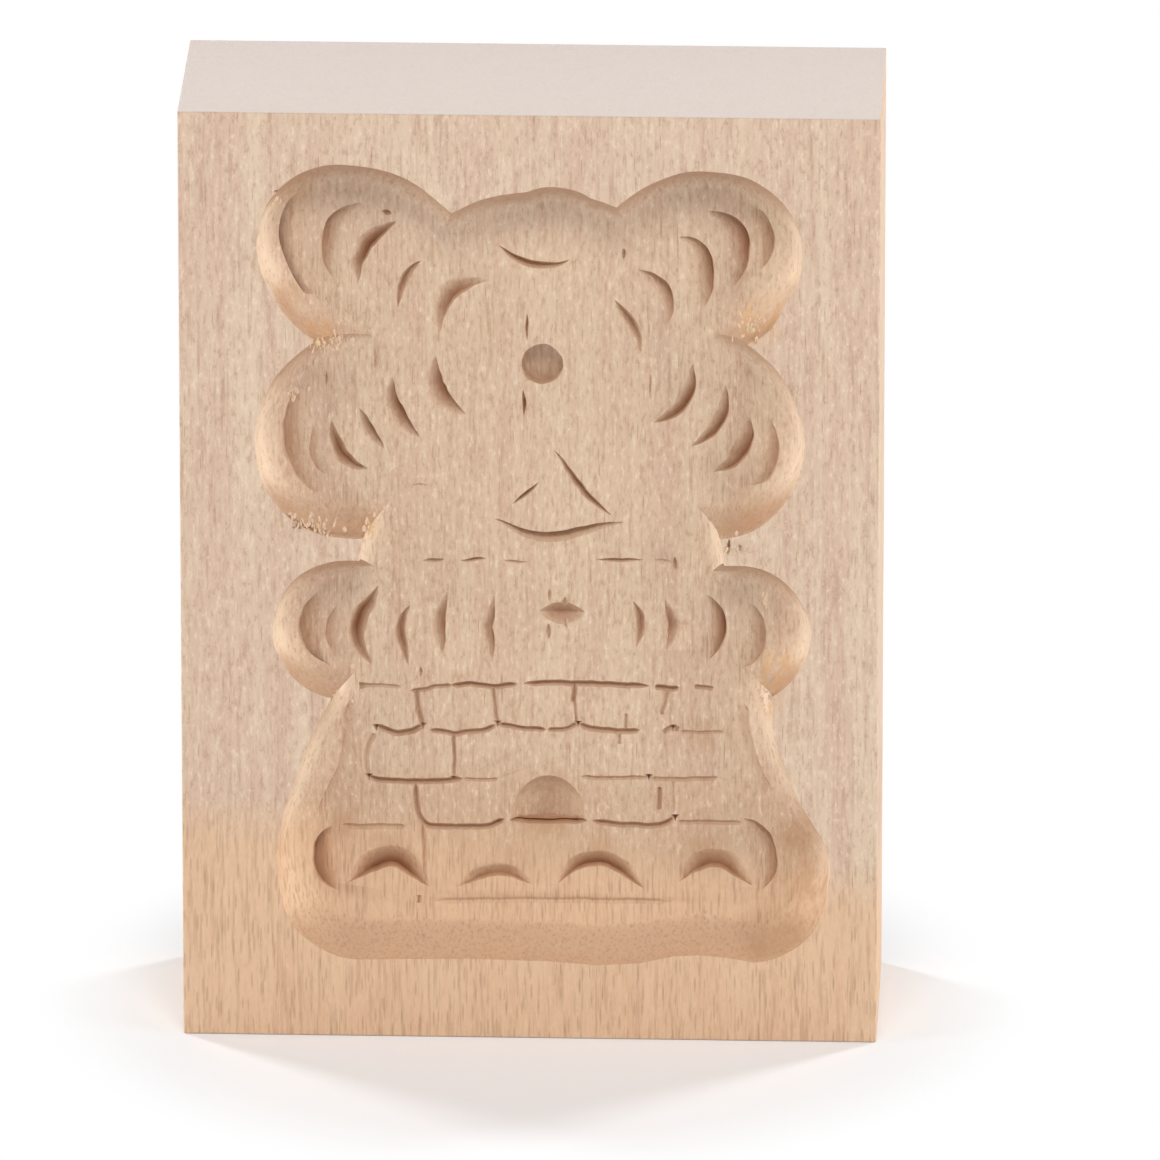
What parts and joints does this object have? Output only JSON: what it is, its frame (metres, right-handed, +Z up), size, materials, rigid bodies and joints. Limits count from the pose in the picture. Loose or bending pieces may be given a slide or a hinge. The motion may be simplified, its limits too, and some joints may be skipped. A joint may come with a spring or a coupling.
{
  "type": "cookie mould",
  "caption": "Upright beech block with a windmill carved as a shallow pocket into its front face, for pressing spiced dough into shape.",
  "frame": {"origin": "middle of the foot of the block, which stands on the ground", "axes": "+Z up along the grain, the carved face looks along -Y, +X to the right as the carving is seen"},
  "size_m": [0.09, 0.03, 0.126],
  "materials": {
    "beech": "steamed beech, planed faces and knife-cut carving, unfinished"
  },
  "bodies": {
    "root": {"mould_block": "beech"}
  },
  "joints": []
}
